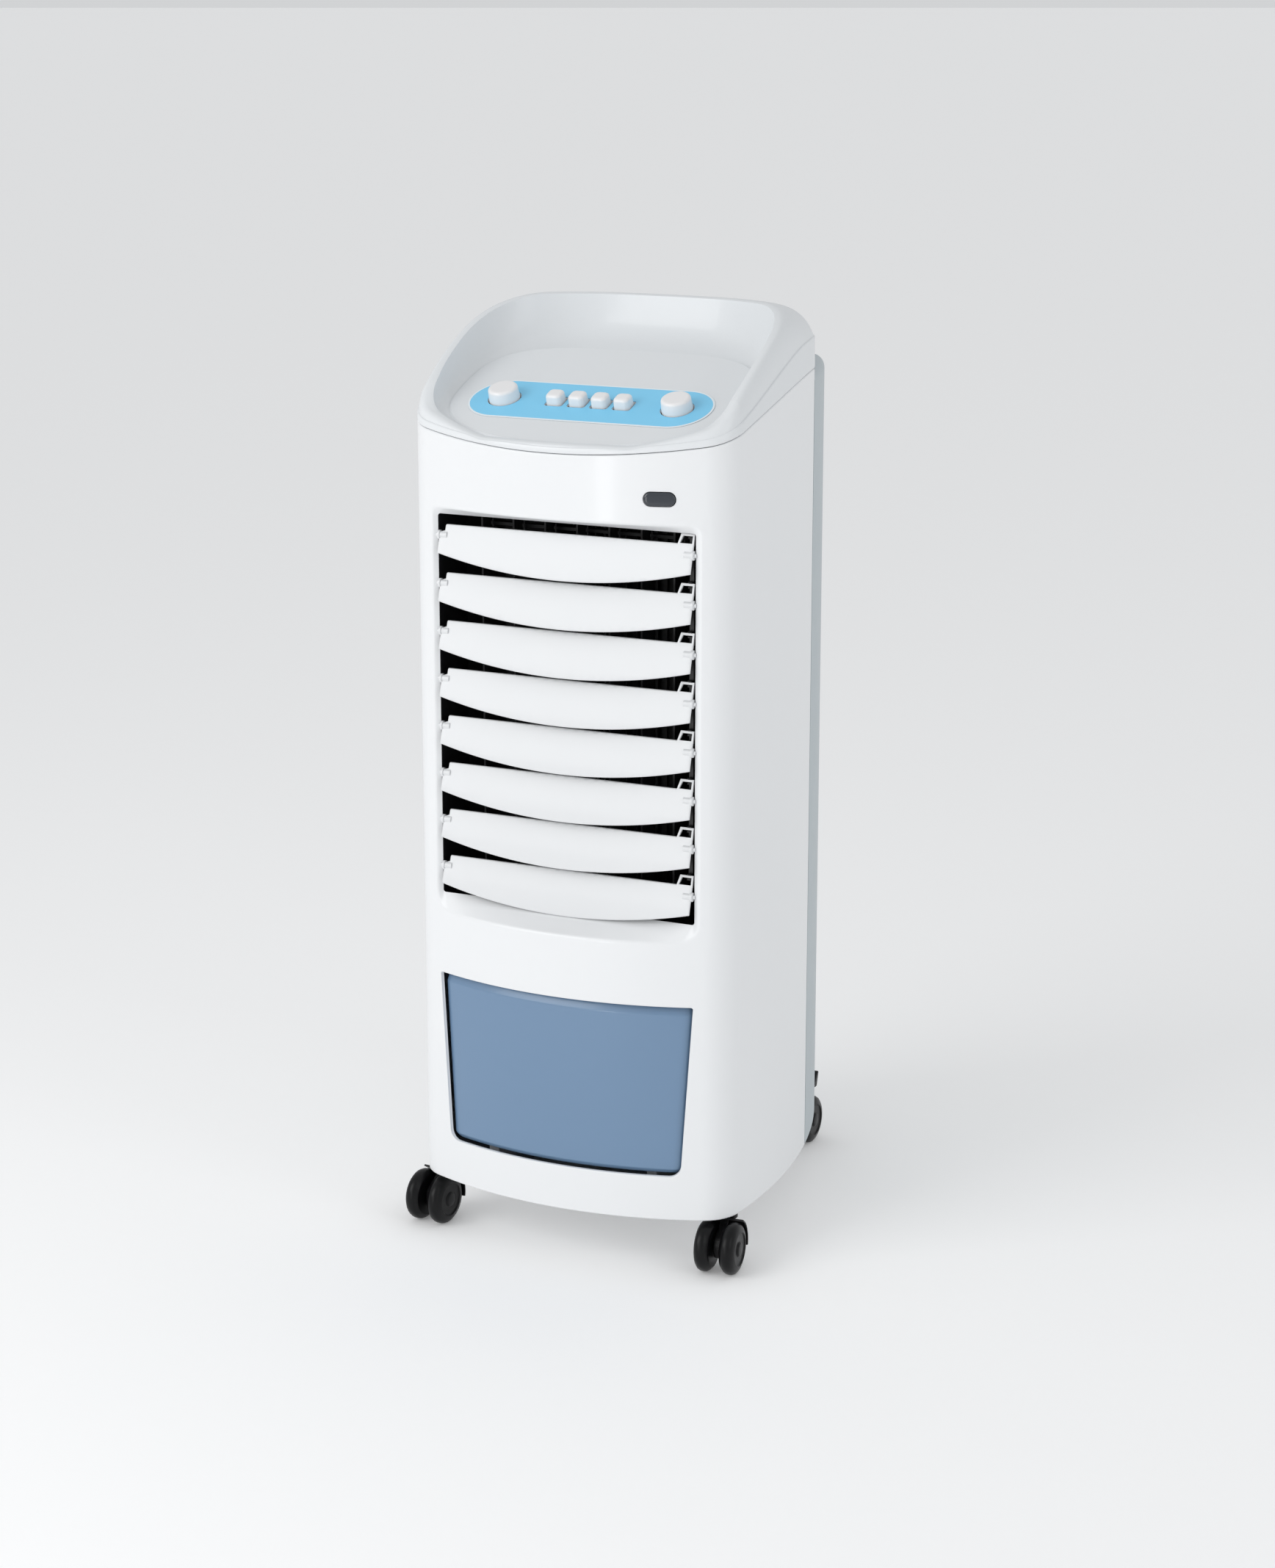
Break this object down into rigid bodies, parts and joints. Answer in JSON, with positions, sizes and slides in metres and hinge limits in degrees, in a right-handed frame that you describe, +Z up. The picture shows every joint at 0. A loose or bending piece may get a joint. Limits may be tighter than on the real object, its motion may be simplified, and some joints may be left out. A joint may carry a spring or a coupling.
{
  "type": "evaporative cooler",
  "caption": "Upright tower evaporative air cooler on casters, with tilting outlet louvres, a slide-out water tank and a sloping control panel inside a raised rim.",
  "frame": {"origin": "on the floor, at the middle of the whole width and depth", "axes": "+Z up, -Y out of the louvred front, +X to the right as seen from the front"},
  "size_m": [0.2738, 0.3343, 0.6995],
  "materials": {
    "white_plastic": "satin white moulded ABS",
    "cover_grey": "satin very light grey moulded ABS",
    "rear_grey": "matt light blue-grey moulded PP",
    "inner_white": "matt white PP",
    "duct_black": "matt black PP",
    "caster_black": "fine-grained black nylon",
    "wheel_black": "smooth black nylon",
    "label_blue": "printed polycarbonate label",
    "lens_smoke": "smoked polished acrylic",
    "tank_blue": "translucent blue polypropylene",
    "motor_steel": "zinc-plated sheet",
    "pad_cellulose": "resin-stiffened corrugated paper",
    "hose_clear": "soft clear PVC"
  },
  "bodies": {
    "cabinet": {"front_shell": "white_plastic", "rear_housing": "rear_grey", "base": "inner_white", "top_cover": "cover_grey", "control_label": "label_blue", "indicator_lens": "lens_smoke", "cable_gland": "caster_black", "selector_switch": "inner_white", "timer_mechanism": "inner_white", "speed_switch": "duct_black", "fan_housing": "duct_black", "fan_motor": "motor_steel", "swing_motor": "motor_steel", "partition": "inner_white", "water_pump": "duct_black", "pump_hose": "hose_clear", "distribution_tray": "inner_white", "cooling_pad": "pad_cellulose"},
    "filter_panel": {"filter_panel": "rear_grey", "filter_mesh": "duct_black"},
    "function_knob": {"function_knob": "white_plastic"},
    "timer_knob": {"timer_knob": "white_plastic"},
    "push_button_1": {"push_button_1": "white_plastic"},
    "push_button_2": {"push_button_2": "white_plastic"},
    "push_button_3": {"push_button_3": "white_plastic"},
    "push_button_4": {"push_button_4": "white_plastic"},
    "louvre_1": {"louvre_1": "white_plastic"},
    "louvre_2": {"louvre_2": "white_plastic"},
    "louvre_3": {"louvre_3": "white_plastic"},
    "louvre_4": {"louvre_4": "white_plastic"},
    "louvre_5": {"louvre_5": "white_plastic"},
    "louvre_6": {"louvre_6": "white_plastic"},
    "louvre_7": {"louvre_7": "white_plastic"},
    "louvre_8": {"louvre_8": "white_plastic"},
    "louvre_link": {"louvre_link": "duct_black"},
    "vane_1": {"vane_1": "duct_black"},
    "vane_2": {"vane_2": "duct_black"},
    "vane_3": {"vane_3": "duct_black"},
    "vane_4": {"vane_4": "duct_black"},
    "vane_5": {"vane_5": "duct_black"},
    "vane_6": {"vane_6": "duct_black"},
    "vane_7": {"vane_7": "duct_black"},
    "vane_link": {"vane_link": "duct_black"},
    "swing_crank": {"swing_crank": "duct_black"},
    "blower_wheel": {"blower_wheel": "duct_black"},
    "water_tank": {"water_tank": "tank_blue"},
    "caster_fork_front_left": {"caster_fork_front_left": "caster_black"},
    "caster_fork_front_right": {"caster_fork_front_right": "caster_black"},
    "caster_fork_rear_left": {"caster_fork_rear_left": "caster_black"},
    "caster_fork_rear_right": {"caster_fork_rear_right": "caster_black"},
    "caster_wheels_front_left": {"caster_wheels_front_left": "wheel_black"},
    "caster_wheels_front_right": {"caster_wheels_front_right": "wheel_black"},
    "caster_wheels_rear_left": {"caster_wheels_rear_left": "wheel_black"},
    "caster_wheels_rear_right": {"caster_wheels_rear_right": "wheel_black"},
    "brake_lever_rear_left": {"brake_lever_rear_left": "caster_black"},
    "brake_lever_rear_right": {"brake_lever_rear_right": "caster_black"}
  },
  "joints": [
    {"name": "function_knob_turn", "type": "hinge", "parent": "cabinet", "child": "function_knob", "pos_m": [-0.069, -0.1021, 0.6335], "axis": [0, -0.3552, 0.9348], "range_deg": [0, 270]},
    {"name": "timer_knob_turn", "type": "hinge", "parent": "cabinet", "child": "timer_knob", "pos_m": [0.069, -0.1021, 0.6335], "axis": [0, -0.3552, 0.9348], "range_deg": [0, 300]},
    {"name": "push_button_1_press", "type": "slide", "parent": "cabinet", "child": "push_button_1", "axis": [0, 0.3552, -0.9348], "range_m": [0, 0.004], "stiffness_N_per_m": 400, "springref_m": -0.001},
    {"name": "push_button_2_press", "type": "slide", "parent": "cabinet", "child": "push_button_2", "axis": [0, 0.3552, -0.9348], "range_m": [0, 0.004], "stiffness_N_per_m": 400, "springref_m": -0.001},
    {"name": "push_button_3_press", "type": "slide", "parent": "cabinet", "child": "push_button_3", "axis": [0, 0.3552, -0.9348], "range_m": [0, 0.004], "stiffness_N_per_m": 400, "springref_m": -0.001},
    {"name": "push_button_4_press", "type": "slide", "parent": "cabinet", "child": "push_button_4", "axis": [0, 0.3552, -0.9348], "range_m": [0, 0.004], "stiffness_N_per_m": 400, "springref_m": -0.001},
    {"name": "louvre_1_tilt", "type": "hinge", "parent": "cabinet", "child": "louvre_1", "pos_m": [0, -0.1446, 0.538], "axis": [1, 0, 0], "range_deg": [-55, 0]},
    {"name": "louvre_2_tilt", "type": "hinge", "parent": "cabinet", "child": "louvre_2", "pos_m": [0, -0.1446, 0.5024], "axis": [1, 0, 0], "range_deg": [-55, 0]},
    {"name": "louvre_3_tilt", "type": "hinge", "parent": "cabinet", "child": "louvre_3", "pos_m": [0, -0.1446, 0.4668], "axis": [1, 0, 0], "range_deg": [-55, 0]},
    {"name": "louvre_4_tilt", "type": "hinge", "parent": "cabinet", "child": "louvre_4", "pos_m": [0, -0.1446, 0.4312], "axis": [1, 0, 0], "range_deg": [-55, 0]},
    {"name": "louvre_5_tilt", "type": "hinge", "parent": "cabinet", "child": "louvre_5", "pos_m": [0, -0.1446, 0.3956], "axis": [1, 0, 0], "range_deg": [-55, 0]},
    {"name": "louvre_6_tilt", "type": "hinge", "parent": "cabinet", "child": "louvre_6", "pos_m": [0, -0.1446, 0.36], "axis": [1, 0, 0], "range_deg": [-55, 0]},
    {"name": "louvre_7_tilt", "type": "hinge", "parent": "cabinet", "child": "louvre_7", "pos_m": [0, -0.1446, 0.3244], "axis": [1, 0, 0], "range_deg": [-55, 0]},
    {"name": "louvre_8_tilt", "type": "hinge", "parent": "cabinet", "child": "louvre_8", "pos_m": [0, -0.1446, 0.2888], "axis": [1, 0, 0], "range_deg": [-55, 0]},
    {"name": "louvre_link_pivot", "type": "hinge", "parent": "louvre_1", "child": "louvre_link", "pos_m": [0.0975, -0.14069, 0.55165], "axis": [1, 0, 0], "range_deg": [0, 55]},
    {"name": "vane_1_swing", "type": "hinge", "parent": "cabinet", "child": "vane_1", "pos_m": [-0.0771, -0.1171, 0.4105], "axis": [0, 0, 1], "range_deg": [-35, 35]},
    {"name": "vane_2_swing", "type": "hinge", "parent": "cabinet", "child": "vane_2", "pos_m": [-0.0514, -0.1171, 0.4105], "axis": [0, 0, 1], "range_deg": [-35, 35]},
    {"name": "vane_3_swing", "type": "hinge", "parent": "cabinet", "child": "vane_3", "pos_m": [-0.0257, -0.1171, 0.4105], "axis": [0, 0, 1], "range_deg": [-35, 35]},
    {"name": "vane_4_swing", "type": "hinge", "parent": "cabinet", "child": "vane_4", "pos_m": [0, -0.1171, 0.4105], "axis": [0, 0, 1], "range_deg": [-35, 35]},
    {"name": "vane_5_swing", "type": "hinge", "parent": "cabinet", "child": "vane_5", "pos_m": [0.0257, -0.1171, 0.4105], "axis": [0, 0, 1], "range_deg": [-35, 35]},
    {"name": "vane_6_swing", "type": "hinge", "parent": "cabinet", "child": "vane_6", "pos_m": [0.0514, -0.1171, 0.4105], "axis": [0, 0, 1], "range_deg": [-35, 35]},
    {"name": "vane_7_swing", "type": "hinge", "parent": "cabinet", "child": "vane_7", "pos_m": [0.0771, -0.1171, 0.4105], "axis": [0, 0, 1], "range_deg": [-35, 35]},
    {"name": "vane_link_pivot", "type": "hinge", "parent": "vane_1", "child": "vane_link", "pos_m": [-0.0771, -0.1061, 0.5428], "axis": [0, 0, 1], "range_deg": [-35, 35]},
    {"name": "swing_crank_turn", "type": "hinge", "parent": "cabinet", "child": "swing_crank", "pos_m": [0.0895, -0.1171, 0.556], "axis": [0, 0, 1], "range_deg": [-35, 35]},
    {"name": "blower_spin", "type": "hinge", "parent": "cabinet", "child": "blower_wheel", "pos_m": [0, -0.0321, 0.4105], "axis": [0, 0, 1], "continuous": true},
    {"name": "water_tank_slide", "type": "slide", "parent": "cabinet", "child": "water_tank", "axis": [0, -1, 0], "range_m": [0, 0.13]},
    {"name": "filter_panel_slide", "type": "slide", "parent": "cabinet", "child": "filter_panel", "axis": [0, 1, 0], "range_m": [0, 0.05]},
    {"name": "caster_front_left_swivel", "type": "hinge", "parent": "cabinet", "child": "caster_fork_front_left", "pos_m": [-0.1188, -0.1156, 0.045], "axis": [0, 0, 1], "continuous": true},
    {"name": "caster_front_left_roll", "type": "hinge", "parent": "caster_fork_front_left", "child": "caster_wheels_front_left", "pos_m": [-0.12046, -0.13453, 0.01926], "axis": [0.9962, -0.0872, 0], "continuous": true},
    {"name": "caster_front_right_swivel", "type": "hinge", "parent": "cabinet", "child": "caster_fork_front_right", "pos_m": [0.1188, -0.1156, 0.045], "axis": [0, 0, 1], "continuous": true},
    {"name": "caster_front_right_roll", "type": "hinge", "parent": "caster_fork_front_right", "child": "caster_wheels_front_right", "pos_m": [0.12046, -0.13453, 0.01926], "axis": [0.9962, 0.0872, 0], "continuous": true},
    {"name": "caster_rear_left_swivel", "type": "hinge", "parent": "cabinet", "child": "caster_fork_rear_left", "pos_m": [-0.065, 0.1289, 0.045], "axis": [0, 0, 1], "range_deg": [-50, 50]},
    {"name": "caster_rear_left_roll", "type": "hinge", "parent": "caster_fork_rear_left", "child": "caster_wheels_rear_left", "pos_m": [-0.065, 0.1479, 0.01926], "axis": [1, 0, 0], "continuous": true},
    {"name": "brake_lever_rear_left_press", "type": "hinge", "parent": "caster_fork_rear_left", "child": "brake_lever_rear_left", "pos_m": [-0.065, 0.1544, 0.0413], "axis": [-1, 0, 0], "range_deg": [0, 22]},
    {"name": "caster_rear_right_swivel", "type": "hinge", "parent": "cabinet", "child": "caster_fork_rear_right", "pos_m": [0.065, 0.1289, 0.045], "axis": [0, 0, 1], "range_deg": [-50, 50]},
    {"name": "caster_rear_right_roll", "type": "hinge", "parent": "caster_fork_rear_right", "child": "caster_wheels_rear_right", "pos_m": [0.065, 0.1479, 0.01926], "axis": [1, 0, 0], "continuous": true},
    {"name": "brake_lever_rear_right_press", "type": "hinge", "parent": "caster_fork_rear_right", "child": "brake_lever_rear_right", "pos_m": [0.065, 0.1544, 0.0413], "axis": [-1, 0, 0], "range_deg": [0, 22]}
  ],
  "couplings": [
    {"joint": "louvre_2_tilt", "follows": "louvre_1_tilt", "ratio": 1},
    {"joint": "louvre_3_tilt", "follows": "louvre_1_tilt", "ratio": 1},
    {"joint": "louvre_4_tilt", "follows": "louvre_1_tilt", "ratio": 1},
    {"joint": "louvre_5_tilt", "follows": "louvre_1_tilt", "ratio": 1},
    {"joint": "louvre_6_tilt", "follows": "louvre_1_tilt", "ratio": 1},
    {"joint": "louvre_7_tilt", "follows": "louvre_1_tilt", "ratio": 1},
    {"joint": "louvre_8_tilt", "follows": "louvre_1_tilt", "ratio": 1},
    {"joint": "louvre_link_pivot", "follows": "louvre_1_tilt", "ratio": -1},
    {"joint": "vane_2_swing", "follows": "vane_1_swing", "ratio": 1},
    {"joint": "vane_3_swing", "follows": "vane_1_swing", "ratio": 1},
    {"joint": "vane_4_swing", "follows": "vane_1_swing", "ratio": 1},
    {"joint": "vane_5_swing", "follows": "vane_1_swing", "ratio": 1},
    {"joint": "vane_6_swing", "follows": "vane_1_swing", "ratio": 1},
    {"joint": "vane_7_swing", "follows": "vane_1_swing", "ratio": 1},
    {"joint": "vane_link_pivot", "follows": "vane_1_swing", "ratio": -1},
    {"joint": "swing_crank_turn", "follows": "vane_1_swing", "ratio": 1}
  ]
}
